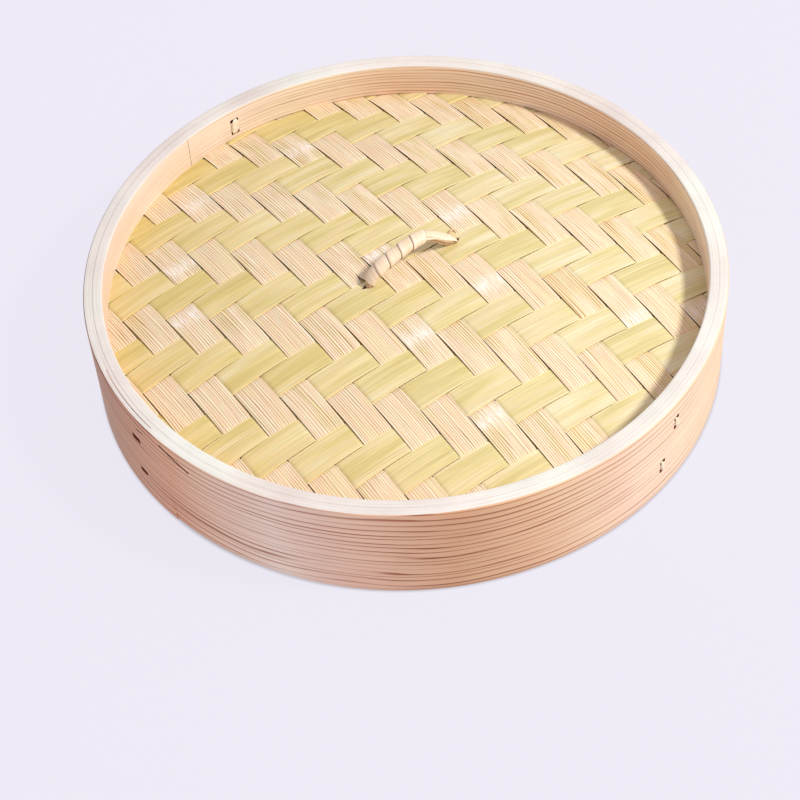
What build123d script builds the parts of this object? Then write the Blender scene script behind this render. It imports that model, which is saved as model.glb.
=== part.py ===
"""Domed lid of a bamboo steamer: cedar hoops, a twill-woven bamboo mat and a wrapped loop handle.

Millimetres, +Z up. The origin is the centre of the lid's bottom edge.
The mat is laid out in its own weave axes: s runs along the wefts, t along the warps.
"""
import os
from math import cos, floor, radians, sin, sqrt, tan

from build123d import *

os.makedirs("parts", exist_ok=True)

# ---- driving dimensions -------------------------------------------------------------------
LID_R = 140.0               # outside radius of the rim
LID_H = 50.0                # outside height of the rim
OUTER_HOOP_T = 4.0          # two plies of bent cedar
INNER_HOOP_T = 4.2
GLUE_GAP = 0.1              # between the hoops
SKIRT_DEPTH = 12.0          # the lower inner hoop stops this far above the bottom edge
SKIRT_RELIEF = 0.6          # planed off the inside of the skirt
EDGE_CHAMFER = 0.5

LAP_AZIMUTH = -137.0        # where the outer ply ends
LAP_STEP = 0.6              # thickness of the outer ply's feathered end
LAP_SWEEP = 40.0            # degrees over which the step fades out
PLY_SEAM = (-178.0, -141.0)  # degrees: the open seam between the two plies at the lap
PLY_SEAM_W = 0.35
PLY_SEAM_DEPTH = 3.0
SCARF_SWEEP = 12.0          # degrees covered by the slanting scarf joint of an inner hoop
SCARF_OPENING = 0.3         # degrees
UPPER_SCARF_AZIMUTH = 134.0
LOWER_SCARF_AZIMUTH = -60.0

MAT_EDGE_Z = 33.0           # top of the mat where it meets the wall
DOME_RISE = 14.4            # height of the mat's crown above its edge
STRIP_PITCH = 14.1
STRIP_GAP = 0.6             # between neighbouring strips
STRIP_T = 0.6
LAYER_GAP = 0.1             # between a strip and the one that it crosses
WEAVE_ANGLE = 32.6          # degrees from +X to the wefts
WARP_FIRST = 2.02           # s of the warps' line number 0
WEFT_FIRST = 2.52           # t of the wefts' line number 0
MAT_OVERLAP = 3.1           # the mat's edge is gripped this far beyond the wall's inner face
GRIP_GAP = 0.15             # between the mat and the hoops that grip it

RIB_W = 7.0
RIB_T = 2.2
RIB_MAT_GAP = 0.35
RIB_REACH = 2.9             # a rib's ends enter the lower hoop this far
RIB_NOTCH_GAP = 0.2

HANDLE_S = 3.8              # centre of the handle in weave axes
HANDLE_T = -0.4
HANDLE_HALF_SPAN = 23.5
STRAND_R = 1.6
STRAND_CLEARANCE = 0.6      # round a foot where it passes the mat and the rib
HOOK_BEND_R = 2.2
HOOK_TIP_Z = 44.2
HINGE_Z = 46.3              # middle of the mat's thickness at the feet
WRAP_W = 7.6                # section of the wrapped part
WRAP_T = 5.2
WRAP_START_Z = HINGE_Z + 2.6
WRAP_END_X = 8.0            # where the wrapping stops, from the handle's centre
CORE_CLEARANCE = 0.05

STITCH_STRAND_T = 1.0
STITCH_BAR_STANDS = 0.8     # how far a stitch stands out of the wood
STITCH_BAR_GAP = 0.05       # between the flat inner stitch and the hollow of the wall
STITCH_FIT = 0.1
STITCH_TIP = 0.4            # a stitch's legs stop this far inside the far face

# ---- derived sizes ------------------------------------------------------------------------
OUTER_HOOP_IN = LID_R - OUTER_HOOP_T
SKIRT_R = OUTER_HOOP_IN + SKIRT_RELIEF
INNER_HOOP_OUT = OUTER_HOOP_IN - GLUE_GAP
INNER_R = INNER_HOOP_OUT - INNER_HOOP_T
MAT_R = INNER_R + MAT_OVERLAP
MAT_T = 2 * STRIP_T + LAYER_GAP
CROWN_Z = MAT_EDGE_Z + DOME_RISE
DOME_FALL = DOME_RISE / INNER_R**2
STRIP_W = STRIP_PITCH - STRIP_GAP
HOLE_R = STRAND_R + STRAND_CLEARANCE

S_AXIS = Vector(cos(radians(WEAVE_ANGLE)), sin(radians(WEAVE_ANGLE)), 0)
T_AXIS = Vector(-S_AXIS.Y, S_AXIS.X, 0)
UP = Vector(0, 0, 1)


def dome_z(radius):
    """Height of the mat's top at a distance from the lid's axis."""
    return CROWN_Z - DOME_FALL * radius**2


def weave_point(s, t, z=0.0):
    return S_AXIS * s + T_AXIS * t + UP * z


def polar(radius, azimuth):
    return radius * cos(radians(azimuth)), radius * sin(radians(azimuth))


def warp_plane(s):
    """Upright plane along the warps: x is t, y is up, and the normal is +s."""
    return Plane(origin=weave_point(s, 0), x_dir=T_AXIS, z_dir=S_AXIS)


def weft_plane(t):
    """Upright plane along the wefts: x is s, y is up, and the normal is -t."""
    return Plane(origin=weave_point(0, t), x_dir=S_AXIS, z_dir=-T_AXIS)


def radial_plane(azimuth):
    """Upright plane through the lid's axis: x is the distance from the axis, y is up."""
    x, y = polar(1.0, azimuth)
    return Plane(origin=(0, 0, 0), x_dir=(x, y, 0), z_dir=(y, -x, 0))


def save(part, name):
    part.label = name
    export_step(part, f"parts/{name}.step")


# ---- stitches: flat bamboo strands that bind the hoops --------------------------------------
# name: azimuth, middle height, distance between the two legs (0 for a single leg), strand width,
# radius at which the strand starts, radius at which it ends
OUTSIDE = LID_R + STITCH_BAR_STANDS
INSIDE = INNER_R - STITCH_BAR_STANDS - STITCH_BAR_GAP
STITCHES = {
    "rim_stitch_left_upper": (-145.6, 35.8, 0, 5.5, LID_R - 1.4, INNER_R + STITCH_TIP),
    "rim_stitch_left_lower": (-145.4, 15.1, 0, 5.0, LID_R - 1.4, INNER_R + STITCH_TIP),
    "rim_stitch_right_upper": (-40.0, 37.4, 5.0, 3.0, OUTSIDE, INNER_R + STITCH_TIP),
    "rim_stitch_right_lower": (-43.4, 16.9, 5.0, 3.0, OUTSIDE, INNER_R + STITCH_TIP),
    "inner_stitch": (125.3, 40.2, 7.0, 4.0, INSIDE, OUTER_HOOP_IN + 1.0),
}


def leg_heights(z, leg_gap):
    return (z - leg_gap / 2, z + leg_gap / 2) if leg_gap else (z,)


def cut_stitch_holes():
    """Cut every stitch's legs, with their fit, out of the hoop being built."""
    for azimuth, z, leg_gap, width, start_r, end_r in STITCHES.values():
        face_r = LID_R + 1 if start_r > end_r else INNER_R - 1
        hole_end = end_r - STITCH_FIT if start_r > end_r else end_r + STITCH_FIT
        with BuildSketch(radial_plane(azimuth)) as holes:
            for leg_z in leg_heights(z, leg_gap):
                with Locations(((face_r + hole_end) / 2, leg_z)):
                    Rectangle(abs(face_r - hole_end), STITCH_STRAND_T + 2 * STITCH_FIT)
        extrude(holes.sketch, amount=width / 2 + STITCH_FIT, both=True, mode=Mode.SUBTRACT)


for name, (azimuth, z, leg_gap, width, start_r, end_r) in STITCHES.items():
    with BuildPart() as stitch:
        with BuildSketch(radial_plane(azimuth)):
            for leg_z in leg_heights(z, leg_gap):
                with Locations(((start_r + end_r) / 2, leg_z)):
                    Rectangle(abs(start_r - end_r), STITCH_STRAND_T)
            if leg_gap:
                bar_end = start_r + STITCH_BAR_STANDS * (1 if end_r > start_r else -1)
                with Locations(((start_r + bar_end) / 2, z)):
                    Rectangle(STITCH_BAR_STANDS, leg_gap + STITCH_STRAND_T)
        extrude(amount=width / 2, both=True)
    save(stitch.part, name)

# ---- outer hoop: two plies wound on each other, lapped at the left front ----------------------
with BuildPart() as outer_hoop:
    with BuildSketch():
        Circle(LID_R)
        Circle(OUTER_HOOP_IN, mode=Mode.SUBTRACT)
    extrude(amount=LID_H)
    with BuildSketch():
        Circle(SKIRT_R)
    extrude(amount=SKIRT_DEPTH, mode=Mode.SUBTRACT)
    chamfer(outer_hoop.edges().filter_by(GeomType.CIRCLE).sort_by(SortBy.RADIUS)[-2:], EDGE_CHAMFER)
    with BuildSketch():
        fade = LAP_AZIMUTH + LAP_SWEEP
        middle = LAP_AZIMUTH + LAP_SWEEP / 2
        clear_r = LID_R + LAP_STEP
        with BuildLine():
            ThreePointArc(
                polar(LID_R - LAP_STEP, LAP_AZIMUTH),
                polar(LID_R - LAP_STEP / 2, middle),
                polar(LID_R, fade),
            )
            Line(polar(LID_R, fade), polar(clear_r, fade))
            ThreePointArc(polar(clear_r, fade), polar(clear_r, middle), polar(clear_r, LAP_AZIMUTH))
            Line(polar(clear_r, LAP_AZIMUTH), polar(LID_R - LAP_STEP, LAP_AZIMUTH))
        make_face()
    extrude(amount=LID_H, mode=Mode.SUBTRACT)
    with BuildSketch(Plane.XY.offset(LID_H)):
        start, end = PLY_SEAM
        middle = (start + end) / 2
        seam_r = LID_R - OUTER_HOOP_T / 2
        with BuildLine():
            ThreePointArc(polar(seam_r, start), polar(seam_r, middle), polar(seam_r, end))
            Line(polar(seam_r, end), polar(seam_r - PLY_SEAM_W, end))
            ThreePointArc(
                polar(seam_r - PLY_SEAM_W, end),
                polar(seam_r - PLY_SEAM_W, middle),
                polar(seam_r - PLY_SEAM_W, start),
            )
            Line(polar(seam_r - PLY_SEAM_W, start), polar(seam_r, start))
        make_face()
    extrude(amount=-PLY_SEAM_DEPTH, mode=Mode.SUBTRACT)
    cut_stitch_holes()
save(outer_hoop.part, "outer_hoop")


# ---- inner hoops: one above the mat and one below it, each a strip closed by a scarf joint -----
def cut_scarf(azimuth):
    """Open the slanting scarf joint where the ends of the hoop's strip meet."""
    with BuildSketch() as slit:
        with BuildLine():
            Polyline(
                polar(INNER_R - 1, azimuth),
                polar(INNER_R - 1, azimuth + SCARF_OPENING),
                polar(INNER_HOOP_OUT + 1, azimuth + SCARF_SWEEP + SCARF_OPENING),
                polar(INNER_HOOP_OUT + 1, azimuth + SCARF_SWEEP),
                close=True,
            )
        make_face()
    extrude(slit.sketch, amount=LID_H, mode=Mode.SUBTRACT)


with BuildPart() as upper_inner_hoop:
    with BuildSketch(Plane.XZ):
        with BuildLine():
            Polyline(
                (INNER_R, dome_z(INNER_R) + GRIP_GAP),
                (INNER_HOOP_OUT, dome_z(INNER_HOOP_OUT) + GRIP_GAP),
                (INNER_HOOP_OUT, LID_H),
                (INNER_R, LID_H),
                close=True,
            )
        make_face()
    revolve(axis=Axis.Z)
    top_edges = upper_inner_hoop.edges().filter_by_position(Axis.Z, LID_H, LID_H)
    chamfer(top_edges.filter_by(GeomType.CIRCLE).sort_by(SortBy.RADIUS)[0], EDGE_CHAMFER)
    cut_scarf(UPPER_SCARF_AZIMUTH)
    cut_stitch_holes()
save(upper_inner_hoop.part, "upper_inner_hoop")

RIB_OFFSETS = {
    "rib_left": HANDLE_S - HANDLE_HALF_SPAN + RIB_W / 2 + HOLE_R,
    "rib_right": HANDLE_S + HANDLE_HALF_SPAN - RIB_W / 2 - HOLE_R,
}
RIB_END_R = INNER_R + RIB_REACH
RIB_DROP = MAT_T + RIB_MAT_GAP          # from the dome's top to a rib's top

with BuildPart() as lower_inner_hoop:
    with BuildSketch(Plane.XZ):
        with BuildLine():
            Polyline(
                (INNER_R, SKIRT_DEPTH),
                (INNER_HOOP_OUT, SKIRT_DEPTH),
                (INNER_HOOP_OUT, dome_z(INNER_HOOP_OUT) - MAT_T - GRIP_GAP),
                (INNER_R, dome_z(INNER_R) - MAT_T - GRIP_GAP),
                close=True,
            )
        make_face()
    revolve(axis=Axis.Z)
    cut_scarf(LOWER_SCARF_AZIMUTH)
    cut_stitch_holes()
    notch_floor = dome_z(RIB_END_R) - RIB_DROP - RIB_T - RIB_NOTCH_GAP
    for rib_s in RIB_OFFSETS.values():
        with BuildSketch(warp_plane(rib_s)):
            with Locations((0, (notch_floor + LID_H) / 2)):
                Rectangle(2 * (RIB_END_R + RIB_NOTCH_GAP), LID_H - notch_floor)
        extrude(amount=RIB_W / 2 + RIB_NOTCH_GAP, both=True, mode=Mode.SUBTRACT)
save(lower_inner_hoop.part, "lower_inner_hoop")

# ---- ribs: bowed slats under the mat, their ends in the lower hoop's notches -------------------
for name, rib_s in RIB_OFFSETS.items():
    rib_top = dome_z(abs(rib_s)) - RIB_DROP
    half = sqrt(RIB_END_R**2 - rib_s**2)
    fall = DOME_FALL * half**2
    with BuildPart() as rib:
        with BuildSketch(warp_plane(rib_s)):
            with BuildLine():
                ThreePointArc((-half, rib_top - fall), (0, rib_top), (half, rib_top - fall))
                Line((half, rib_top - fall), (half, rib_top - fall - RIB_T))
                ThreePointArc(
                    (half, rib_top - fall - RIB_T),
                    (0, rib_top - RIB_T),
                    (-half, rib_top - fall - RIB_T),
                )
                Line((-half, rib_top - fall - RIB_T), (-half, rib_top - fall))
            make_face()
        extrude(amount=RIB_W / 2, both=True)
    save(rib.part, name)


# ---- mat: two sets of strips in a 2/2 twill over a shallow dome --------------------------------
# Each strip passes over two crossing strips and under the next two, one strip further on in every
# row. It changes level inside the gaps between the strips that it crosses. The dome is flat within
# each crossing: its height falls with s squared plus t squared, taken straight between the lines.
def line_at(first, index):
    return first + index * STRIP_PITCH


def fall_at(first, x):
    """The dome's fall at x, straight between the weave's lines on either side."""
    index = floor((x - first) / STRIP_PITCH)
    low, high = line_at(first, index), line_at(first, index + 1)
    share = (x - low) / STRIP_PITCH
    return DOME_FALL * (low**2 * (1 - share) + high**2 * share)


def warp_is_on_top(warp, weft):
    return (warp + weft) % 4 >= 2


def strip_face(own_low, own_first, cross_first, is_on_top):
    """Points of a strip's side view, from its far end to its near end and back along its underside."""
    nearest = max(0.0, min(abs(own_low), abs(own_low + STRIP_W)))
    reach = sqrt(MAT_R**2 - nearest**2) + STRIP_PITCH / 2
    own_level = CROWN_Z - fall_at(own_first, own_low)
    first_cell = floor((-reach - cross_first) / STRIP_PITCH)
    last_cell = floor((reach - cross_first) / STRIP_PITCH)
    top = []
    for cell in range(first_cell, last_cell + 1):
        drop = 0 if is_on_top(cell) else STRIP_T + LAYER_GAP
        start = line_at(cross_first, cell) + STRIP_GAP / 2
        for x in (start, start + STRIP_W):
            top.append((x, own_level - fall_at(cross_first, x) - drop))
    underside = [(x, z - STRIP_T) for x, z in reversed(top)]
    return top + underside


def cell_range(first):
    """Indices of the strips that reach the disc of the mat."""
    low = floor((-MAT_R - first) / STRIP_PITCH)
    high = floor((MAT_R - first) / STRIP_PITCH)
    return range(low, high + 1)


HANDLE_FEET = (HANDLE_S - HANDLE_HALF_SPAN, HANDLE_S + HANDLE_HALF_SPAN)


def make_strip(name, plane, across, own_first, index, cross_first, is_on_top, feet):
    """One strip: its side view carried across its width along the dome's slope, trimmed round."""
    own_low = line_at(own_first, index) + STRIP_GAP / 2
    slope = -(fall_at(own_first, own_low + STRIP_W) - fall_at(own_first, own_low)) / STRIP_W
    with BuildPart() as strip:
        with BuildSketch(plane(own_low)):
            with BuildLine():
                Polyline(*strip_face(own_low, own_first, cross_first, is_on_top), close=True)
            make_face()
        extrude(amount=STRIP_W * sqrt(1 + slope**2), dir=across + UP * slope)
        with Locations((0, 0, MAT_EDGE_Z)):
            Cylinder(MAT_R, 2 * LID_H, mode=Mode.INTERSECT)
        for foot in feet:
            with Locations(weave_point(foot, HANDLE_T, HINGE_Z)):
                Cylinder(HOLE_R, 4 * MAT_T, mode=Mode.SUBTRACT)
    save(strip.part, name)


for number, warp in enumerate(cell_range(WARP_FIRST), start=1):
    low = line_at(WARP_FIRST, warp)
    make_strip(
        f"warp_strip_{number:02d}", warp_plane, S_AXIS, WARP_FIRST, warp, WEFT_FIRST,
        is_on_top=lambda weft: warp_is_on_top(warp, weft),
        feet=[foot for foot in HANDLE_FEET if low < foot < low + STRIP_PITCH],
    )

for number, weft in enumerate(cell_range(WEFT_FIRST), start=1):
    low = line_at(WEFT_FIRST, weft)
    make_strip(
        f"weft_strip_{number:02d}", weft_plane, T_AXIS, WEFT_FIRST, weft, WARP_FIRST,
        is_on_top=lambda warp: not warp_is_on_top(warp, weft),
        feet=HANDLE_FEET if low < HANDLE_T < low + STRIP_PITCH else (),
    )

# ---- handle: bamboo strands arched over the mat, hooked under both ribs -------------------------
HOOK_Z = dome_z(HANDLE_HALF_SPAN) - RIB_DROP - RIB_T - HOLE_R
HOOK_RUN = RIB_W + 2 * HOLE_R
LEFT_FOOT, RIGHT_FOOT = -HANDLE_HALF_SPAN, HANDLE_HALF_SPAN
ARCH_POINTS = [
    (LEFT_FOOT, 48.5),
    (-17.5, 55.0),
    (-4.0, 59.0),
    (8.0, 59.6),
    (16.5, 53.6),
    (RIGHT_FOOT, 48.8),
]


def corner_radius(before, corner, after):
    """The largest arc that both runs of a corner leave room for."""
    run_in, run_out = Vector(corner) - Vector(before), Vector(after) - Vector(corner)
    turn = radians(run_in.get_angle(run_out))
    return 0.45 * min(run_in.length, run_out.length) / tan(turn / 2)


def corner_radii(points):
    return [corner_radius(*points[i - 1:i + 2]) for i in range(1, len(points) - 1)]


HANDLE_PLANE = weft_plane(HANDLE_T).shift_origin(weave_point(HANDLE_S, HANDLE_T))
CORE_POINTS = [
    (LEFT_FOOT + HOOK_RUN, HOOK_TIP_Z),
    (LEFT_FOOT + HOOK_RUN, HOOK_Z),
    (LEFT_FOOT, HOOK_Z),
    *ARCH_POINTS,
    (RIGHT_FOOT, HOOK_Z),
    (RIGHT_FOOT - HOOK_RUN, HOOK_Z),
    (RIGHT_FOOT - HOOK_RUN, HOOK_TIP_Z),
]
core_radii = [HOOK_BEND_R] * 2 + corner_radii(CORE_POINTS[2:-2]) + [HOOK_BEND_R] * 2

with BuildPart() as handle_core:
    with BuildLine(HANDLE_PLANE) as core_path:
        FilletPolyline(*CORE_POINTS, radius=core_radii)
    with BuildSketch(Plane(origin=core_path.line @ 0, z_dir=core_path.line % 0)):
        Circle(STRAND_R)
    sweep()
save(handle_core.part, "handle_core")

# ---- handle wrap: the flat strip wound round the strands, here as the closed sleeve that it makes ---
# The sleeve follows the strands, from above the mat at the left foot to past the arch's crown.
with BuildPart() as handle_wrap:
    with BuildLine(HANDLE_PLANE) as arch_path:
        FilletPolyline(*CORE_POINTS[2:-2], radius=core_radii[2:-2])
    with BuildSketch(Plane(origin=arch_path.line @ 0, x_dir=T_AXIS, z_dir=arch_path.line % 0)):
        Ellipse(WRAP_W / 2, WRAP_T / 2)
        Circle(STRAND_R + CORE_CLEARANCE, mode=Mode.SUBTRACT)
    sweep()
    split(bisect_by=Plane.XY.offset(WRAP_START_Z), keep=Keep.TOP)
    split(bisect_by=warp_plane(HANDLE_S + WRAP_END_X), keep=Keep.BOTTOM)
save(handle_wrap.part, "handle_wrap")
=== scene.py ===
# %% [markdown]
# # The lid of a bamboo steamer
# A bent cedar rim grips a domed mat of split bamboo, and a small loop of wrapped bamboo strands is the
# handle. The lid's sizes and joints come from a packed engineering model. Here every piece of it gets
# the shape and the finish of the real thing: rounded edges, grain, fibres and slots.

# %% Load the model that fixes every place and size
import math
import random
from functools import partial

import bmesh
import bpy
from mathutils import Matrix, Vector, noise


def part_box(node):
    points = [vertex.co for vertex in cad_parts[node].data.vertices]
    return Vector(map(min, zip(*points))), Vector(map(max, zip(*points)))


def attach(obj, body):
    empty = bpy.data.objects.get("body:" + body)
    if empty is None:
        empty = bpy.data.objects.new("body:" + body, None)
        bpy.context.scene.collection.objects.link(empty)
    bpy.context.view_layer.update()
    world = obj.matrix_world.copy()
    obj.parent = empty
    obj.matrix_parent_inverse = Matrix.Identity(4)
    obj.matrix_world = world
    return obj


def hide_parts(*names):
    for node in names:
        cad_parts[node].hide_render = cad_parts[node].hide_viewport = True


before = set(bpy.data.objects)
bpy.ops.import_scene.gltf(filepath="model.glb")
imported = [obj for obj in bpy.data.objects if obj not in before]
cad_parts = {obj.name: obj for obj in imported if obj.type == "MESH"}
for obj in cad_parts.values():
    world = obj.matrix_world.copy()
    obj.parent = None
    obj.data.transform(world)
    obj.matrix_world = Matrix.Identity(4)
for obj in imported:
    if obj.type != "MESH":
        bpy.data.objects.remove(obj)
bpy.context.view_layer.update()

MM = 0.001

# %% [markdown]
# ## Camera, floor and light
# The lid is seen from its front and well above, a little tilted, through a long lens. One large soft
# light stands high at the right. A pale sky fills the shadows, as the white walls of a small booth do.


# %% Camera
def put(name, data):
    """An object in the scene for a mesh, a curve, a light or a camera."""
    made = bpy.data.objects.new(name, data)
    bpy.context.scene.collection.objects.link(made)
    return made


EYE, TARGET = Vector((0.0, -620.49, 667.78)) * MM, Vector((-5.484, -57.981, 25.0)) * MM
SENSOR, LENS = 36.0, 90.34                      # mm
TILT = math.radians(-4.037)                     # about the line of sight
camera = put("camera", bpy.data.cameras.new("camera"))
camera.data.sensor_width, camera.data.lens = SENSOR, LENS
aim = (TARGET - EYE).to_track_quat("-Z", "Y").to_matrix().to_4x4()
camera.matrix_world = Matrix.Translation(EYE) @ aim @ Matrix.Rotation(TILT, 4, "Z")
bpy.context.scene.camera = camera
bpy.context.scene.view_settings.view_transform = "Standard"
print("camera", [round(c, 3) for c in EYE], "lens", camera.data.lens)


# %% Helpers for colours and shader nodes
def linear(hex_colour):
    """An sRGB hex colour as the linear colour that shaders work in."""
    channels = [int(hex_colour[i:i + 2], 16) / 255 for i in (1, 3, 5)]
    return (*[c / 12.92 if c <= 0.04045 else ((c + 0.055) / 1.055) ** 2.4 for c in channels], 1.0)


def add(material, kind, inputs=None, stops=(), **settings):
    """Adds a shader node: its settings, its inputs as values or links, and a colour ramp's stops."""
    new = material.node_tree.nodes.new("ShaderNode" + kind)
    for name, value in settings.items():
        setattr(new, name, value)
    for name, value in (inputs or {}).items():
        if isinstance(value, bpy.types.NodeSocket):
            material.node_tree.links.new(value, new.inputs[name])
        else:
            new.inputs[name].default_value = value
    for number, (place, colour) in enumerate(stops):
        elements = new.color_ramp.elements
        point = elements[number] if number < 2 else elements.new(place)
        point.position, point.color = place, linear(colour)
    return new


def new_material(name):
    """An empty node material with its output and a Principled shader."""
    material = bpy.data.materials.new(name)
    material.use_nodes = True
    material.node_tree.nodes.clear()
    shader = add(material, "BsdfPrincipled")
    add(material, "OutputMaterial", {"Surface": shader.outputs[0]})
    return material, shader


def dress(material, shader, colour, roughness, height=None, strength=0.0, relief=0.0):
    """Joins a colour and a roughness to the shader and, where there is a height, relief in metres."""
    material.node_tree.links.new(colour, shader.inputs["Base Color"])
    shader.inputs["Roughness"].default_value = roughness
    if height is not None:
        bump = add(material, "Bump", {"Strength": strength, "Distance": relief, "Height": height})
        material.node_tree.links.new(bump.outputs[0], shader.inputs["Normal"])


print("cream is", [round(c, 3) for c in linear("#f0ecdf")])

# %% Floor: a sheet of white paper, evenly lit from behind
GLOW_FROM, GLOW_TO, GLOW = 137 * MM, 141 * MM, 0.95      # it glows round the lid, not in the space under it
floor_paper, floor_shader = new_material("lit_paper_sweep")
place = add(floor_paper, "TexCoord").outputs["Object"]
from_axis = add(floor_paper, "VectorMath", {0: place}, operation="LENGTH").outputs["Value"]
lit = add(floor_paper, "MapRange", {"Value": from_axis, "From Min": GLOW_FROM, "From Max": GLOW_TO,
                                    "To Max": GLOW})
floor_shader.inputs["Base Color"].default_value = linear("#2f2e31")
floor_shader.inputs["Emission Color"].default_value = linear("#edeaf5")
floor_paper.node_tree.links.new(lit.outputs[0], floor_shader.inputs["Emission Strength"])
floor_shader.inputs["Roughness"].default_value = 0.9

bm = bmesh.new()
bmesh.ops.create_grid(bm, x_segments=4, y_segments=4, size=3.0)
floor_mesh = bpy.data.meshes.new("floor")
bm.to_mesh(floor_mesh)
bm.free()
floor_mesh.materials.append(floor_paper)
floor = put("floor", floor_mesh)
print("floor made:", floor_paper.name)

# %% Sky
sky = bpy.data.worlds.new("pale_booth")
bpy.context.scene.world = sky
sky.use_nodes = True
sky_light = sky.node_tree.nodes["Background"]
sky_light.inputs["Color"].default_value = linear("#f3f0fa")
sky_light.inputs["Strength"].default_value = 0.67
print("sky strength", round(sky_light.inputs["Strength"].default_value, 2))

# %% Key light
KEY_AZIMUTH, KEY_HEIGHT = math.radians(-15), math.radians(50)
KEY_AWAY, KEY_WIDTH, KEY_WATTS = 1.5, 0.24, 18.0
towards = Vector((math.cos(KEY_AZIMUTH), math.sin(KEY_AZIMUTH), math.tan(KEY_HEIGHT))).normalized()
key = put("key", bpy.data.lights.new("key", "AREA"))
key.data.shape, key.data.size, key.data.energy = "DISK", KEY_WIDTH, KEY_WATTS
key.data.color = linear("#fffdf9")[:3]
key.location = towards * KEY_AWAY
key.rotation_mode = "QUATERNION"
key.rotation_quaternion = towards.to_track_quat("Z", "Y")
print("key light comes from", [round(c, 2) for c in towards])

# %% [markdown]
# ## Cedar
# The rim is planed, unvarnished cedar, bent while it was steamed. Its growth rings run all the way round
# as dark lines 1 to 4 mm apart that sway a little and fade in and out. Between them the wood is pink-tan
# and silky. A ring is a saw wave of height plus radius: height changes down the wall and radius across the
# top, so the lines run on over the edges, as they do in a real board. The sanded top shows the same
# lines, far paler.


# %% Growth rings
def ring_wave(node, place, ring_mm):
    """Rises from 0 to 1 from one growth ring to the next, ring_mm further down or out."""
    height = node("SeparateXYZ", {0: place}).outputs["Z"]
    flat = node("VectorMath", {0: place, 1: (1, 1, 0)}, operation="MULTIPLY").outputs[0]
    radius = node("VectorMath", {0: flat}, operation="LENGTH").outputs["Value"]
    depth = node("Math", {0: height, 1: radius}, operation="ADD").outputs[0]
    # 90 mm long waves bend the rings by a few millimetres
    sway = node("TexNoise", {"Vector": place, "Scale": 11.0, "Detail": 1.5}).outputs["Fac"]
    # uneven years: the spacing changes every 8 mm or so
    years = node("Math", {0: depth, 1: 120.0}, operation="MULTIPLY").outputs[0]
    uneven = node("TexNoise", {"W": years, "Scale": 1.0, "Detail": 2.0}, noise_dimensions="1D").outputs["Fac"]
    phase = node("Math", {0: depth, 1: 1 / (ring_mm * MM)}, operation="MULTIPLY").outputs[0]
    phase = node("Math", {0: sway, 1: 3.2, 2: phase}, operation="MULTIPLY_ADD").outputs[0]
    phase = node("Math", {0: uneven, 1: 2.2, 2: phase}, operation="MULTIPLY_ADD").outputs[0]
    return node("Math", {0: phase}, operation="FRACT").outputs[0]


# %% Cedar material
def cedar(name, ring_mm, early, mid, late, relief, roughness, tone_and_light=((0, "#ffffff", 1), (180, "#ffffff", 1))):
    """Cedar with rings ring_mm apart. early, mid and late are the colours from one ring line to the
    next. The last argument lists, by azimuth, a tint that is partly the board's own tone and partly
    painted light and shade, and how strong its ring lines are."""
    material, shader = new_material(name)
    node = partial(add, material)
    place = node("TexCoord").outputs["Object"]
    saw = ring_wave(node, place, ring_mm)
    rings = node("ValToRGB", {"Fac": saw},
                 [(0.0, late), (0.06, early), (0.55, early), (0.80, mid), (0.90, late), (1.0, late)])
    # each ring line fades in and out along its length
    fade_place = node("VectorMath", {0: place, 1: (14, 14, 160)}, operation="MULTIPLY").outputs[0]
    fade = node("TexNoise", {"Vector": fade_place, "Scale": 1.0, "Detail": 2.0}).outputs["Fac"]
    strength = node("MapRange", {"Value": fade, "From Min": 0.34, "From Max": 0.55,
                                 "To Min": 0.3, "To Max": 1.0}).outputs[0]
    # the tint changes all the way round: partly the board's own tone, partly painted light and shade
    around = node("TexGradient", {"Vector": place}, gradient_type="RADIAL").outputs["Fac"]
    tone_and_light_tint = node("ValToRGB", {"Fac": around}, [(0.5 + azimuth / 360, colour) for azimuth, colour, _ in tone_and_light])
    for stop, (_, _, lines) in zip(tone_and_light_tint.color_ramp.elements, tone_and_light):
        stop.color[3] = lines
    lines = node("Math", {0: strength, 1: tone_and_light_tint.outputs["Alpha"]}, operation="MULTIPLY").outputs[0]
    wood = node("Mix", {0: lines, 6: linear(early), 7: rings.outputs[0]}, data_type="RGBA").outputs[2]
    # silky fibres 0.4 mm high and 30 mm long, and a slow drift from pinker to yellower wood
    fibre_place = node("VectorMath", {0: place, 1: (35, 35, 2600)}, operation="MULTIPLY").outputs[0]
    fibre = node("TexNoise", {"Vector": fibre_place, "Scale": 1.0, "Detail": 3.0,
                              "Roughness": 0.6}).outputs["Fac"]
    shade = node("MapRange", {"Value": fibre, "From Min": 0.25, "From Max": 0.75,
                              "To Min": 0.88, "To Max": 1.06})
    drift = node("TexNoise", {"Vector": place, "Scale": 16.0, "Detail": 2.0}).outputs["Fac"]
    warmth = node("ValToRGB", {"Fac": drift}, [(0.3, "#f7e4dc"), (0.7, "#fffbf0")])
    for factor in (shade, warmth, tone_and_light_tint):
        wood = node("VectorMath", {0: wood, 1: factor.outputs[0]}, operation="MULTIPLY").outputs[0]
    grooves = node("Math", {0: saw, 1: fibre}, operation="ADD").outputs[0]
    dress(material, shader, wood, roughness, grooves, relief, 0.12 * MM)
    return material


# %% The three finishes of cedar
# the outside: pink-tan with strong brown ring lines; its tints are partly the board's own tone and
# partly painted shade, darkest at the far left, away from the key light
planed_cedar = cedar("planed_cedar", 2.8, "#fff2e6", "#f2d9c5", "#ab6f50", 0.4, 0.55, tone_and_light=[
    (-180, "#b29b8c", 0.9), (-155, "#c9a489", 1.0), (-135, "#ebc2a8", 1.0), (-115, "#ffffff", 1.0),
    (-98, "#fae1ce", 1.0), (-85, "#e3be9e", 1.0), (-70, "#f0d5b7", 1.0), (-50, "#fdf1e3", 0.65),
    (-20, "#f3e9ce", 0.4), (0, "#efdbc2", 0.5), (90, "#ebd0b5", 0.8), (180, "#b29b8c", 0.9)])
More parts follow.
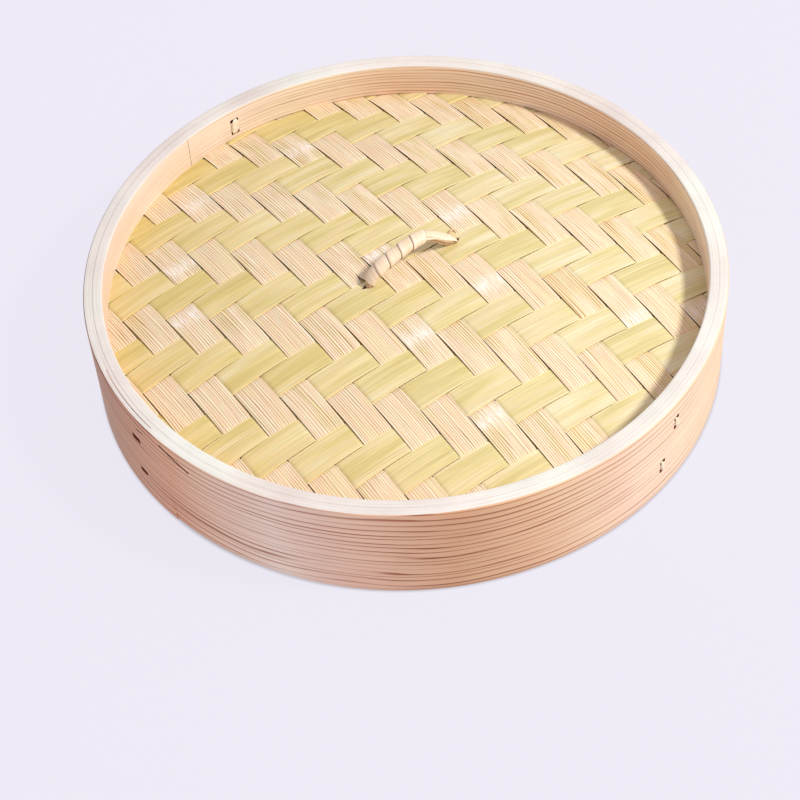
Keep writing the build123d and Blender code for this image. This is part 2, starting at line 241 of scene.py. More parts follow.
# the inner hoops: thinner, more orange stock with finer lines; its tints are partly the wood's own
# tone and partly painted light and shade
fine_cedar = cedar("fine_ringed_cedar", 1.9, "#fff0e2", "#f6d8ba", "#bb8158", 0.4, 0.55, tone_and_light=[
    (-180, "#f3f0ef", 0.3), (-90, "#fff8f0", 0.6), (0, "#ffffff", 0.9), (30, "#fff9ec", 1.0),
    (60, "#ffffff", 1.0), (90, "#f6efe0", 1.0), (120, "#f9fffc", 0.7), (150, "#fdffff", 0.25),
    (180, "#f3f0ef", 0.3)])
# the sanded top and bottom edges: nearly white, with faint lines
sanded_cedar = cedar("sanded_cedar_edge", 1.4, "#e7ebeb", "#e6e9e5", "#e0dfd9", 0.05, 0.7)
print("cedar finishes:", planed_cedar.name, fine_cedar.name, sanded_cedar.name)

# %% Cut wood inside the slots: dull red-brown, as the end grain of cedar looks in a deep cut
slot_dark, slot_shader = new_material("shaded_cut_cedar")
node = partial(add, slot_dark)
slot_noise = node("TexNoise", {"Vector": node("TexCoord").outputs["Object"], "Scale": 900.0}).outputs["Fac"]
slot_ramp = node("ValToRGB", {"Fac": slot_noise}, [(0.3, "#6b2a1e"), (0.7, "#8e4534")])
dress(slot_dark, slot_shader, slot_ramp.outputs[0], 0.8)
print("slot finish:", slot_dark.name)

# %% [markdown]
# ## Making the rim
# A hoop is a ring with one profile, so its profile is drawn once and spun round the axis. The outer hoop
# is a thin board wound on itself: its outer end leaves a small step at the left front, and just there the
# two plies stand slightly apart. The slots for the binding strands are cut with Boolean cutters, as a
# chisel would.


# %% A helper that finishes a piece
def finish_piece(bm, name, materials, body, nodes, sharp=35):
    """Turns a bmesh into an object that stands for CAD nodes and rides on a body."""
    mesh = bpy.data.meshes.new(name)
    bm.to_mesh(mesh)
    bm.free()
    for material in materials:
        mesh.materials.append(material)
    mesh.shade_smooth()
    mesh.set_sharp_from_angle(angle=math.radians(sharp))
    piece = put(name, mesh)
    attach(piece, body)
    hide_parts(*nodes)
    return piece


# %% Helpers for rings and cuts
def polar(radius, azimuth, z=0.0):
    """A point at a distance and an angle in degrees from the lid's axis."""
    return Vector((radius * math.cos(math.radians(azimuth)), radius * math.sin(math.radians(azimuth)), z))


def spun_ring(profile_mm, steps=480):
    """A closed profile of (radius, height) points in mm, spun into a ring."""
    bm = bmesh.new()
    points = [bm.verts.new((r * MM, 0, z * MM)) for r, z in profile_mm]
    for here, there in zip(points, points[1:] + points[:1]):
        bm.edges.new((here, there))
    bmesh.ops.spin(bm, geom=bm.verts[:] + bm.edges[:], cent=(0, 0, 0), axis=(0, 0, 1),
                   dvec=(0, 0, 0), angle=math.tau, steps=steps, use_merge=True)
    bmesh.ops.recalc_face_normals(bm, faces=bm.faces)
    return bm


def paint_edges(bm, threshold=0.6):
    """Gives the faces that look up or down the second material, the sanded edge."""
    bm.normal_update()
    for face in bm.faces:
        face.material_index = 1 if abs(face.normal.z) > threshold else 0


def block(bm, azimuth, radius, z, size, lean=0.0):
    """A cutter: a box of size (deep, wide, high) mm at a place on the wall, leaned about the radial line."""
    turn = Matrix.Rotation(math.radians(azimuth), 4, "Z") @ Matrix.Rotation(math.radians(lean), 4, "X")
    place = Matrix.Translation(polar(radius * MM, azimuth, z * MM)) @ turn
    made = bmesh.ops.create_cube(bm, size=1.0, matrix=place @ Matrix.Diagonal((*[s * MM for s in size], 1)))
    edges = {e for v in made["verts"] for e in v.link_edges}
    bmesh.ops.bevel(bm, geom=list(edges), offset=min(size) * 0.3 * MM, segments=2, profile=0.5,
                    affect="EDGES", material=-1)


def carve(piece, bm):
    """Cuts the boxes in bm out of a piece. The cut faces get the dark material of the cutter."""
    mesh = bpy.data.meshes.new("cutter")
    bm.to_mesh(mesh)
    bm.free()
    mesh.materials.append(slot_dark)
    cutter = put("cutter", mesh)
    cut = piece.modifiers.new("slots", "BOOLEAN")
    cut.object, cut.operation, cut.solver, cut.material_mode = cutter, "DIFFERENCE", "EXACT", "TRANSFER"
    carved = bpy.data.meshes.new_from_object(piece.evaluated_get(bpy.context.evaluated_depsgraph_get()))
    piece.modifiers.clear()
    piece.data = carved
    bpy.data.objects.remove(cutter)
    print(piece.name, "carved:", len(carved.polygons), "faces", [m.name for m in carved.materials])


# %% Places of the binding strands on the rim
WALL_R, FACE_R = 140.0, 131.7                   # mm: the outside of the wall and the inside of the rim
RIGHT_STITCHES = {"rim_stitch_right_upper": (-40.0, 37.4), "rim_stitch_right_lower": (-43.4, 16.9)}
INNER_STITCH = (125.3, 40.2)                    # azimuth in degrees and height in mm
print("right stitches at", list(RIGHT_STITCHES.values()), "inner stitch at", INNER_STITCH)

# %% Outer hoop
LAP, LAP_STEP, LAP_SWEEP = -137.0, 0.6 * MM, 40.0
SEAM = (-163.0, -141.0)                         # degrees: where the plies stand apart
SEAM_R, SEAM_DEPTH = 137.82, 0.7 * MM
WALL_ROWS = [45, 40, 35, 30, 25, 20, 15, 10, 5]
outer_profile = [
    (136.6, 0.5), (136.6, 12.0), (136.0, 12.3), (136.0, 49.95), (136.05, 50.0), (137.68, 50.0), (SEAM_R, 50.0),
    (137.96, 50.0), (139.25, 50.0), (139.6, 49.92), (139.88, 49.65), (WALL_R, 49.2),
    *[(WALL_R, z) for z in WALL_ROWS], (WALL_R, 0.8), (139.85, 0.35), (139.4, 0.05), (138.8, 0.0), (137.0, 0.0),
]
bm = spun_ring(outer_profile)
for v in bm.verts:
    azimuth, radius = math.degrees(math.atan2(v.co.y, v.co.x)), math.hypot(v.co.x, v.co.y)
    past = azimuth - LAP
    if radius > 139.2 * MM:
        if -0.5 < past < 0:
            azimuth = LAP - 0.03
        elif 0 < past < 0.6:
            azimuth = LAP + 0.03
        if 0 < past < LAP_SWEEP:                # pressed flat above, standing open at the bottom edge
            stands = 0.05 + 0.95 * max(0.0, 1 - v.co.z / (14 * MM)) ** 1.5
            radius -= LAP_STEP * stands * (1 - past / LAP_SWEEP)
    z = v.co.z
    if abs(radius - SEAM_R * MM) < 0.02 * MM and z > 49.9 * MM and SEAM[0] < azimuth < SEAM[1]:
        z -= SEAM_DEPTH * ((azimuth - SEAM[0]) / (SEAM[1] - SEAM[0])) ** 1.5
    v.co = polar(radius, azimuth, z)
paint_edges(bm, threshold=0.85)
outer_hoop = finish_piece(bm, "outer_hoop_bent_cedar", [planed_cedar, sanded_cedar], "lid",
                          ["outer_hoop"])
print("outer hoop:", len(outer_hoop.data.polygons), "faces")

# %% Slots and scores in the outer hoop
bm = bmesh.new()
block(bm, -145.6, 139.4, 35.6, (3.4, 6.2, 2.9))
block(bm, -145.2, 139.4, 15.1, (3.4, 5.4, 2.6))
block(bm, -143.9, 139.9, 43.6, (1.6, 5.0, 0.7), lean=12)
block(bm, -134.7, 139.5, 44.5, (2.0, 17.5, 1.1), lean=-17)
for azimuth, z in RIGHT_STITCHES.values():
    for leg in (-2.5, 2.5):
        block(bm, azimuth, 139.4, z + leg, (4.0, 3.4, 2.6), lean=12)
carve(outer_hoop, bm)

# %% Inner hoops
upper_profile = [
    (FACE_R, 33.2), (FACE_R, 36.0), (FACE_R, 40.0), (FACE_R, 44.0), (FACE_R, 49.2), (131.82, 49.6),
    (132.2, 49.92), (132.6, 50.0), (135.9, 50.0), (135.95, 49.95), (135.95, 32.4),
]
bm = spun_ring(upper_profile)
paint_edges(bm)
upper_hoop = finish_piece(bm, "upper_inner_hoop_cedar", [fine_cedar, sanded_cedar], "lid",
                          ["upper_inner_hoop"])
bm = bmesh.new()
for z in (36.7, 43.7):
    block(bm, INNER_STITCH[0], 132.4, z, (3.4, 4.6, 1.9))
block(bm, 137.4, FACE_R, 42.0, (0.5, 0.22, 17.5))         # the end of the board in the scarf joint
carve(upper_hoop, bm)

lower_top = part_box("lower_inner_hoop")[1].z / MM
lower_profile = [
    (FACE_R, 12.6), (FACE_R, 20.0), (FACE_R, lower_top), (135.9, lower_top - 0.9), (135.9, 12.4), (135.4, 12.0),
    (132.3, 12.0),
]
bm = spun_ring(lower_profile)
paint_edges(bm)
lower_hoop = finish_piece(bm, "lower_inner_hoop_cedar", [fine_cedar, sanded_cedar], "lid",
                          ["lower_inner_hoop"])
print("hoops:", outer_hoop.name, upper_hoop.name, lower_hoop.name)

# %% [markdown]
# ## Bamboo for the mat
# The mat has two kinds of split bamboo. The wefts keep the smooth outer skin of the cane: greenish yellow,
# a soft gloss, long faint streaks and paler edges where the knife ran. The warps show the inside of the
# cane: cream to pinkish tan, matt, with dark fibre bundles about a millimetre apart, and a fuzzy pale
# patch wherever a joint of the cane was planed off. Both follow the strip, so they use its own UV map in
# metres.


# %% Helpers for bamboo materials
def bamboo_coordinates(material):
    """u along and v across the strip in metres, the strip's own number, and how near the edge we are."""
    uv = add(material, "UVMap", uv_map="strip").outputs[0]
    split = add(material, "SeparateXYZ", {0: uv})
    seed = add(material, "Attribute", attribute_name="seed").outputs["Fac"]
    edge = add(material, "Attribute", attribute_name="edge").outputs["Fac"]
    return split.outputs["X"], split.outputs["Y"], seed, edge


def streaks(material, u, v, seed, along, across, detail=2.0, roughness=0.5):
    """Noise stretched along the strip: features 1/along m long and 1/across m wide."""
    long = add(material, "Math", {0: u, 1: along}, operation="MULTIPLY").outputs[0]
    wide = add(material, "Math", {0: v, 1: across}, operation="MULTIPLY").outputs[0]
    other = add(material, "Math", {0: seed, 1: 37.0}, operation="MULTIPLY").outputs[0]
    vector = add(material, "CombineXYZ", {0: long, 1: wide, 2: other}).outputs[0]
    return add(material, "TexNoise", {"Vector": vector, "Scale": 1.0, "Detail": detail,
                                      "Roughness": roughness}).outputs["Fac"]


# %% Skin-side bamboo
weft_bamboo, weft_shader = new_material("bamboo_skin_side")
node = partial(add, weft_bamboo)
u, v, seed, edge = bamboo_coordinates(weft_bamboo)
broad = streaks(weft_bamboo, u, v, seed, 22, 200, detail=3.0)
fine = streaks(weft_bamboo, u, v, seed, 16, 1900, detail=3.0, roughness=0.6)
strip_tone = node("Math", {0: broad, 1: 0.75}, operation="MULTIPLY").outputs[0]
strip_tone = node("Math", {0: seed, 1: 0.12, 2: strip_tone}, operation="MULTIPLY_ADD").outputs[0]
skin = node("ValToRGB", {"Fac": strip_tone},
            [(0.34, "#d7c88c"), (0.42, "#dfd29c"), (0.48, "#e4d3a8"), (0.54, "#e6dbaf"), (0.62, "#ebe0c2")])
grain = node("MapRange", {"Value": fine, "From Min": 0.3, "From Max": 0.7, "To Min": 0.83, "To Max": 1.09})
skin = node("VectorMath", {0: skin.outputs[0], 1: grain.outputs[0]}, operation="MULTIPLY")
# the knife left the edges paler
pale = node("MapRange", {"Value": edge, "From Min": 0.92, "From Max": 0.99, "To Min": 0.0, "To Max": 0.6})
skin = node("Mix", {0: pale.outputs[0], 6: skin.outputs[0], 7: linear("#f8ecb6")}, data_type="RGBA")
# painted sheen: the strips are whiter towards the right of the lid, where the key light's sheen
# falls, and yellower towards the left
across = node("SeparateXYZ", {0: node("TexCoord").outputs["Object"]}).outputs["X"]
painted_sheen = node("MapRange", {"Value": across, "From Min": -110 * MM, "From Max": 110 * MM})
painted_sheen = node("ValToRGB", {"Fac": painted_sheen.outputs[0]}, [(0.0, "#fff5d8"), (1.0, "#ffffff")])
skin = node("VectorMath", {0: skin.outputs[2], 1: painted_sheen.outputs[0]}, operation="MULTIPLY")
dress(weft_bamboo, weft_shader, skin.outputs[0], 0.42, fine, 0.35, 0.05 * MM)
print("skin side has", len(weft_bamboo.node_tree.nodes), "nodes")

# %% Pith-side bamboo: its tone
warp_bamboo, warp_shader = new_material("bamboo_pith_side")
node = partial(add, warp_bamboo)
u, v, seed, edge = bamboo_coordinates(warp_bamboo)
broad = streaks(warp_bamboo, u, v, seed, 34, 170)
tone = node("Math", {0: seed, 1: 0.35, 2: broad}, operation="MULTIPLY_ADD").outputs[0]
pith = node("ValToRGB", {"Fac": tone}, [(0.42, "#e8c588"), (0.52, "#e4cf96"), (0.61, "#f0cfa8"),
                                        (0.70, "#ecd9ae"), (0.80, "#eecaa0"), (0.9, "#e7cf9c")])
print("pith side has", len(pith.color_ramp.elements), "tones")

# %% Pith-side bamboo: fibre bundles
# A triangle wave across the strip, pushed about by noise. Real bundles lie closer than its 1.1 mm, too
# fine to show, so only the strong ones are drawn.
BUNDLES_PER_METRE = 930.0
push = streaks(warp_bamboo, u, v, seed, 12, 260, detail=3.0)
count = node("Math", {0: v, 1: BUNDLES_PER_METRE}, operation="MULTIPLY").outputs[0]
count = node("Math", {0: push, 1: 2.6, 2: count}, operation="MULTIPLY_ADD").outputs[0]
bundles = node("Math", {0: count, 1: 0.5}, operation="PINGPONG").outputs[0]
depth = node("MapRange", {"Value": broad, "From Min": 0.34, "From Max": 0.62, "To Min": 1.0, "To Max": 0.3})
dark = node("MapRange", {"Value": bundles, "From Min": 0.16, "From Max": 0.04, "To Min": 0.0, "To Max": 0.85})
dark = node("Math", {0: dark.outputs[0], 1: depth.outputs[0]}, operation="MULTIPLY")
striped = node("Mix", {0: dark.outputs[0], 6: pith.outputs[0], 7: linear("#8c6238")}, data_type="RGBA")
light = node("MapRange", {"Value": bundles, "From Min": 0.28, "From Max": 0.44, "To Min": 0.0, "To Max": 0.62})
striped = node("Mix", {0: light.outputs[0], 6: striped.outputs[2], 7: linear("#fdf3df")}, data_type="RGBA")
print("bundles", round(1000 / BUNDLES_PER_METRE, 2), "mm apart")

# %% Pith-side bamboo: hairs and planed joints
hairs = streaks(warp_bamboo, u, v, seed, 30, 2200, detail=3.0, roughness=0.6)
shade = node("MapRange", {"Value": hairs, "From Min": 0.3, "From Max": 0.7, "To Min": 0.84, "To Max": 1.08})
striped = node("VectorMath", {0: striped.outputs[2], 1: shade.outputs[0]}, operation="MULTIPLY")
knot = node("Attribute", attribute_name="knot").outputs["Fac"]
fuzz = streaks(warp_bamboo, u, v, seed, 170, 1500, detail=4.0, roughness=0.6)
fuzzy = node("MapRange", {"Value": fuzz, "From Min": 0.42, "From Max": 0.58, "To Min": 0.1, "To Max": 1.0})
knotty = node("Math", {0: knot, 1: 0.8}, operation="MULTIPLY").outputs[0]
patch = node("Math", {0: fuzzy.outputs[0], 1: knotty}, operation="MULTIPLY").outputs[0]
pith_colour = node("Mix", {0: patch, 6: striped.outputs[0], 7: linear("#fbf3ea")}, data_type="RGBA")
relief = node("Math", {0: fuzz, 1: knot, 2: bundles}, operation="MULTIPLY_ADD").outputs[0]
dress(warp_bamboo, warp_shader, pith_colour.outputs[2], 0.62, relief, 0.7, 0.16 * MM)
print("pith side has", len(warp_bamboo.node_tree.nodes), "nodes")

# %% Split bamboo: the cut sides of the warps, slats and handle strips, brown and dull, and darkened
# with painted shade, so the gaps beside the warps show as dark lines
shaded_split_bamboo, split_shader = new_material("shaded_split_bamboo_sides")
node = partial(add, shaded_split_bamboo)
place = node("TexCoord").outputs["Object"]
split_noise = node("TexNoise", {"Vector": place, "Scale": 700.0, "Detail": 2.0}).outputs["Fac"]
split_colour = node("ValToRGB", {"Fac": split_noise}, [(0.3, "#6f5029"), (0.7, "#9a7a48")])
dress(shaded_split_bamboo, split_shader, split_colour.outputs[0], 0.7)
print("bamboo finishes:", weft_bamboo.name, warp_bamboo.name, shaded_split_bamboo.name)

# %% [markdown]
# ## Weaving the mat
# Each strip is a flat grid that is bent into its place. It goes over two crossing strips, bowing up a
# little, and dives under the next two, one strip further on in each row: a 2/2 twill. Its height is the
# dome's height, less one layer where it is underneath. Real strips are never quite straight or equally
# wide, so each wanders by a tenth of a millimetre or two. Solidify then gives it thickness, and Bevel
# softens its edges.


# %% Helpers for every flat strip
def strip_grid(columns, rows):
    """A flat grid one unit long and wide, with the UV map and attributes that the bamboos read."""
    bm = bmesh.new()
    bmesh.ops.create_grid(bm, x_segments=columns, y_segments=rows, size=0.5)
    floats = bm.verts.layers.float
    return bm, bm.loops.layers.uv.new("strip"), floats.new("seed"), floats.new("edge"), floats.new("knot")


def lay_uv(bm, uv, where):
    """Fills the UV map: where gives the place along and across the strip in metres."""
    for face in bm.faces:
        for loop in face.loops:
            loop[uv].uv = where(loop.vert.co)


def face_up(bm):
    """Turns a strip's faces to the side that most of them should look to: up."""
    bmesh.ops.recalc_face_normals(bm, faces=bm.faces)
    if sum(f.normal.z for f in bm.faces) < 0:
        bmesh.ops.reverse_faces(bm, faces=bm.faces)


def thicken(piece, thickness, material=0, rim_material=0):
    """Gives a sheet its thickness, inwards from the side that shows."""
    body = piece.modifiers.new("thickness", "SOLIDIFY")
    body.thickness, body.offset = thickness, -1
    body.material_offset, body.material_offset_rim = material, rim_material
    return body


# %% The dome and the weave
CROWN_Z, DOME_RISE, INNER_R, MAT_R = 47.4 * MM, 14.4 * MM, 131.7 * MM, 134.5 * MM
PITCH, WIDTH = 14.1 * MM, 13.5 * MM             # of the strips: neighbours are 0.6 mm apart
STRIP_T, LAYER = 0.6 * MM, 0.7 * MM
FIRST_WARP, FIRST_WEFT = 2.02 * MM, 2.52 * MM
ANGLE = math.radians(32.6)
WEFT_WAY = Vector((math.cos(ANGLE), math.sin(ANGLE), 0))
WARP_WAY = Vector((-math.sin(ANGLE), math.cos(ANGLE), 0))
BOW, TURN = 0.42 * MM, 1.2 * MM  # how far a strip bows up between dives, and how short each dive is


def on_mat(s, t, lift=0.0):
    """A point over the dome: s along the wefts, t along the warps, lift above its smooth surface."""
    z = CROWN_Z - DOME_RISE * (s * s + t * t) / INNER_R**2 + lift
    return WEFT_WAY * s + WARP_WAY * t + Vector((0, 0, z))


def layer_at(x, first, is_top):
    """Height of a strip at x below the upper layer: it bows over two strips and dives under two."""
    cell = math.floor((x - first) / PITCH)
    inside = x - first - cell * PITCH
    near, other = (inside, cell - 1) if inside < PITCH / 2 else (PITCH - inside, cell + 1)
    share = min(1.0, near / TURN)
    share = 0.5 + 0.5 * share * share * (3 - 2 * share)
    step = -LAYER * ((0 if is_top(cell) else share) + (0 if is_top(other) else 1 - share))
    start = cell if is_top(cell - 1) != is_top(cell) else cell - 1
    swell = math.sin(math.pi * (x - first - start * PITCH) / (2 * PITCH))
    return step + BOW * swell * (1 if is_top(cell) else -1)


def stations(first):
    """Places along a strip, in metres, close together where it changes level."""
    marks = [0, 0.4, 0.9, 1.5, 2.6, 4.5, 7.05, 9.6, 11.5, 12.6, 13.2, 13.7]
    cells = range(math.floor((-MAT_R - first) / PITCH), math.ceil((MAT_R - first) / PITCH))
    return [first + cell * PITCH + mark * MM for cell in cells for mark in marks]


print("crown at", CROWN_Z / MM, "mm; the mat's edge is", DOME_RISE / MM, "mm lower")


# %% Slits where the handle goes through
def part_fibres(bm, slits, low):
    """Opens slits along the fibres, where a foot of the handle goes through."""
    for centre, line, before, after, opening in slits:
        start, end = centre - before, centre + after
        torn = [e for e in bm.edges
                if all(abs(v.co.y - line) < 1e-6 and start < v.co.x < end for v in e.verts)]
        bmesh.ops.split_edges(bm, edges=torn)
        for v in bm.verts:
            if not start < v.co.x < end:
                continue
            reach = (v.co.x - centre) / (after if v.co.x > centre else before)
            mean = sum(f.calc_center_median().y for f in v.link_faces) / len(v.link_faces)
            side = 1 if mean > line else -1
            room = (low + WIDTH - line) if side > 0 else (line - low)
            spread = max(0.0, 1 - abs(v.co.y - line) / min(room, 5 * MM))
            v.co.y += side * opening * spread * math.cos(reach * math.pi / 2) ** 4


# %% One strip
LINES = (0, 0.015, 0.05, 0.16, 0.33, 0.5, 0.67, 0.84, 0.95, 0.985, 1)       # shares of its width


def woven_strip(name, node, kind, low, first, is_top, seed, knots=(), slits=()):
    """One strip of the mat. low is its lower edge across; first and is_top describe what it crosses."""
    rng = random.Random(seed)
    shift, phase = rng.uniform(-0.1, 0.1) * MM, rng.uniform(0, 50)
    places = stations(first)
    torn = [slit[1] for slit in slits]
    lines = [low + WIDTH * share for share in LINES]
    lines = sorted([x for x in lines if all(abs(x - line) > 0.6 * MM for line in torn)] + torn)
    lines = [x for x in lines if abs(x) < MAT_R - 0.3 * MM]
    bm, uv, seeds, edges, knotty = strip_grid(len(places) - 1, len(lines) - 1)
    for v in bm.verts:
        x = places[round((v.co.x + 0.5) * (len(places) - 1))]
        y = lines[round((v.co.y + 0.5) * (len(lines) - 1))]
        v.co = (x, y, 0)
        v[seeds], v[edges] = phase / 50, abs((y - low) / WIDTH - 0.5) * 2
        v[knotty] = max([math.exp(-((x - k) / (4.2 * MM)) ** 2) for k in knots], default=0.0)
    lay_uv(bm, uv, lambda at: (at.x + phase, at.y - low))
    part_fibres(bm, slits, low)
    for v in bm.verts:
        x, y = v.co.x, v.co.y
        half = math.sqrt(max(MAT_R**2 - y * y, 0))
        x = max(-half, min(half, x))
        wander = noise.noise(Vector((x * 22, phase, 0))) * 0.16 * MM
        roll = noise.noise(Vector((x * 40, phase, 9))) * 0.10 * MM * ((y - low) / WIDTH - 0.5) * 2
        lift = layer_at(x, first, is_top) - 0.10 * MM * v[edges] ** 2 + roll
        s, t = (y + shift + wander, x) if kind == "warp" else (x, y + shift + wander)
        v.co = on_mat(s, t, lift)
    bmesh.ops.remove_doubles(bm, verts=bm.verts, dist=0.002 * MM)
    face_up(bm)
    skin_material = warp_bamboo if kind == "warp" else weft_bamboo
    strip = finish_piece(bm, name, [skin_material, shaded_split_bamboo], "lid", [node], sharp=60)
    # the warps' sides are the dark split bamboo, painted shade; the wefts' sides keep their skin
    thicken(strip, STRIP_T, rim_material=1 if kind == "warp" else 0).use_even_offset = True
    soft = strip.modifiers.new("soft_edges", "BEVEL")
    soft.width, soft.segments, soft.limit_method, soft.angle_limit = 0.08 * MM, 1, "ANGLE", math.radians(50)
    soft.harden_normals = True
    return strip


# %% All the strips
def warp_on_top(warp, weft):
    """Whether the warp is the upper one where these two strips cross."""
    return (warp + weft) % 4 >= 2


HANDLE_S, HANDLE_T, HALF_SPAN = 3.8 * MM, -0.4 * MM, 23.5 * MM
LEFT_FOOT, RIGHT_FOOT = HANDLE_S - HALF_SPAN, HANDLE_S + HALF_SPAN
# planed joints of the cane: the warp's number and the places along it in mm
CANE_JOINTS = {4: [37.9], 5: [67.0], 7: [99.6], 9: [-36.7, -88.4], 10: [14.0], 11: [99.4], 12: [-30.5],
               13: [14.0], 15: [-80.1], 17: [-89.2]}
# slits: the strip's number, then for each the centre, the line across the strip, how far it runs before
# and after the centre, and how far each side is pushed open
WARP_SLITS = {9: [(HANDLE_T, LEFT_FOOT, 5 * MM, 12 * MM, 1.9 * MM)],
              12: [(HANDLE_T + 1.5 * MM, RIGHT_FOOT, 4 * MM, 7 * MM, 1.9 * MM)]}
WEFT_SLITS = {10: [(LEFT_FOOT, HANDLE_T, 4.5 * MM, 4.5 * MM, 1.8 * MM),
                   (RIGHT_FOOT, HANDLE_T, 4 * MM, 3.2 * MM, 1.7 * MM)]}
for number in range(1, 21):
    index = number - 11
    low = FIRST_WARP + index * PITCH + (PITCH - WIDTH) / 2
    woven_strip(f"warp_bamboo_{number:02d}", f"warp_strip_{number:02d}", "warp", low, FIRST_WEFT,
                lambda weft, warp=index: warp_on_top(warp, weft), seed=100 + number,
                knots=[k * MM for k in CANE_JOINTS.get(number, [])], slits=WARP_SLITS.get(number, []))
    low = FIRST_WEFT + index * PITCH + (PITCH - WIDTH) / 2
    woven_strip(f"weft_bamboo_{number:02d}", f"weft_strip_{number:02d}", "weft", low, FIRST_WARP,
                lambda warp, weft=index: not warp_on_top(warp, weft), seed=200 + number,
                slits=WEFT_SLITS.get(number, []))

# %% [markdown]
# ## Ribs under the mat
# Two bowed slats keep the dome up. They are the same split bamboo, thicker, and the handle's feet hook
# round them.

# %% Ribs
RIB_W, RIB_T, RIB_DROP = 7.0 * MM, 2.2 * MM, 1.65 * MM
for name in ("rib_left", "rib_right"):
    low_corner, high_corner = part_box(name)
    middle = (low_corner + high_corner) / 2
    rib_s = middle.x * WEFT_WAY.x + middle.y * WEFT_WAY.y
    half = math.sqrt((INNER_R + 2.9 * MM) ** 2 - rib_s**2)
    bm, uv, seeds, edges, _ = strip_grid(60, 6)
    for v in bm.verts:
        v.co = (v.co.x * 2 * half, v.co.y * RIB_W, 0)
        v[seeds], v[edges] = 0.3, abs(v.co.y) / RIB_W * 1.8
    lay_uv(bm, uv, lambda at: (at.x, at.y + RIB_W))
    for v in bm.verts:
        drop = CROWN_Z - DOME_RISE * (rib_s**2 + v.co.x**2) / INNER_R**2 - RIB_DROP
        v.co = WEFT_WAY * (rib_s + v.co.y) + WARP_WAY * v.co.x + Vector((0, 0, drop))
    face_up(bm)
    rib = finish_piece(bm, name + "_slat", [warp_bamboo, shaded_split_bamboo], "lid", [name])
    thicken(rib, RIB_T, rim_material=1)
    soft = rib.modifiers.new("soft_edges", "BEVEL")
    soft.width, soft.segments, soft.limit_method = 0.4 * MM, 2, "ANGLE"
    print(name, "at s =", round(rib_s / MM, 1), "mm, half length", round(half / MM, 1))

# %% [markdown]
# ## Handle
# A few thick strands of bamboo are bent into an arch, and their ends go through the mat and hook round the
# ribs. A flat strip is wound round them from the left foot to just past the top; each turn laps over the
# one before. The rest of the arch is bare and fans out a little at its foot. The strands are curves with a
# round section. The winding is a long grid wrapped along the same curve.

# %% Bamboo of the strands: round split sticks with a streaky, slightly glossy side
STREAK = (1 / 60, 1 / 1500, 1 / 1500)           # metres: as long and as thick as one streak
strand_bamboo, strand_shader = new_material("split_bamboo_strand")
node = partial(add, strand_bamboo)
place = node("TexCoord").outputs["Object"]
lie = node("Mapping", {"Vector": place, "Rotation": (0, 0, -ANGLE), "Scale": STREAK}, vector_type="TEXTURE")
strand_noise = node("TexNoise", {"Vector": lie.outputs[0], "Scale": 1.0, "Detail": 2.0}).outputs["Fac"]
strand_colour = node("ValToRGB", {"Fac": strand_noise}, [(0.3, "#c79c72"), (0.5, "#e6c49c"), (0.7, "#f2dab8")])
dress(strand_bamboo, strand_shader, strand_colour.outputs[0], 0.5, strand_noise, 0.4, 0.08 * MM)
print("strand finish:", strand_bamboo.name)

# %% Bamboo of the winding: a thin, smooth strip with painted shade along its edges, the dark line
# that shows each turn where it laps over the last
wrap_bamboo, wrap_shader = new_material("wound_bamboo_strip")
node = partial(add, wrap_bamboo)
u, v, seed, edge = bamboo_coordinates(wrap_bamboo)
wrap_grain = streaks(wrap_bamboo, u, v, seed, 40, 1800, detail=3.0)
wrap_tone = node("ValToRGB", {"Fac": wrap_grain}, [(0.3, "#e9cca6"), (0.5, "#f3dabb"), (0.7, "#f8e5cb")])
# painted shade: both edges darken, for the step where each turn laps over the one before
wrap_edge_shade = node("MapRange", {"Value": edge, "From Min": 0.93, "From Max": 1.0, "To Min": 0.0, "To Max": 0.7})
wrap_colour = node("Mix", {0: wrap_edge_shade.outputs[0], 6: wrap_tone.outputs[0], 7: linear("#8d6238")},
                   data_type="RGBA")
dress(wrap_bamboo, wrap_shader, wrap_colour.outputs[2], 0.45, wrap_grain, 0.4, 0.08 * MM)
print("winding finish:", wrap_bamboo.name)

# %% The handle's line
CENTRE = WEFT_WAY * HANDLE_S + WARP_WAY * HANDLE_T
HOOK_Z, TIP_Z, FOOT_X, TIP_X = 40.9, 44.2, 23.5, 12.1             # mm, of the hooks under the mat
ARCH = [(-23.5, 46.5), (-21.5, 51.3), (-16.5, 55.0), (-9.0, 57.3), (-1.0, 59.4), (7.0, 59.6), (12.5, 56.8),
        (18.0, 52.0), (22.5, 48.6), (23.5, 46.0)]


def handle_point(x, z, side=0.0):
    """x along the handle from its middle, z up and side across it, all in mm."""
    return CENTRE + (WEFT_WAY * x + WARP_WAY * side + Vector((0, 0, z))) * MM


def smooth_line(points, depth=0.0, order=4):
    """A NURBS line through the space near the points, as a mesh. With a depth it is a round rod."""
    curve = bpy.data.curves.new("line", "CURVE")
    curve.dimensions, curve.resolution_u, curve.bevel_depth, curve.bevel_resolution = "3D", 6, depth, 3
    curve.use_fill_caps = True
    spline = curve.splines.new("NURBS")
    spline.points.add(len(points) - 1)
    for knot_point, point in zip(spline.points, points):
        knot_point.co = (*point, 1.0)
    spline.use_endpoint_u, spline.order_u = True, order
    holder = put("line", curve)
    mesh = bpy.data.meshes.new_from_object(holder.evaluated_get(bpy.context.evaluated_depsgraph_get()))
    bpy.data.objects.remove(holder)
    return mesh


arch_line = smooth_line([handle_point(x, z) for x, z in ARCH])
arch_points = [v.co.copy() for v in arch_line.vertices]
lengths = [0.0]
for here, there in zip(arch_points, arch_points[1:]):
    lengths.append(lengths[-1] + (there - here).length)
print("the arch is", round(lengths[-1] / MM, 1), "mm long and its top is at z =",
      round(max(p.z for p in arch_points) / MM, 1))


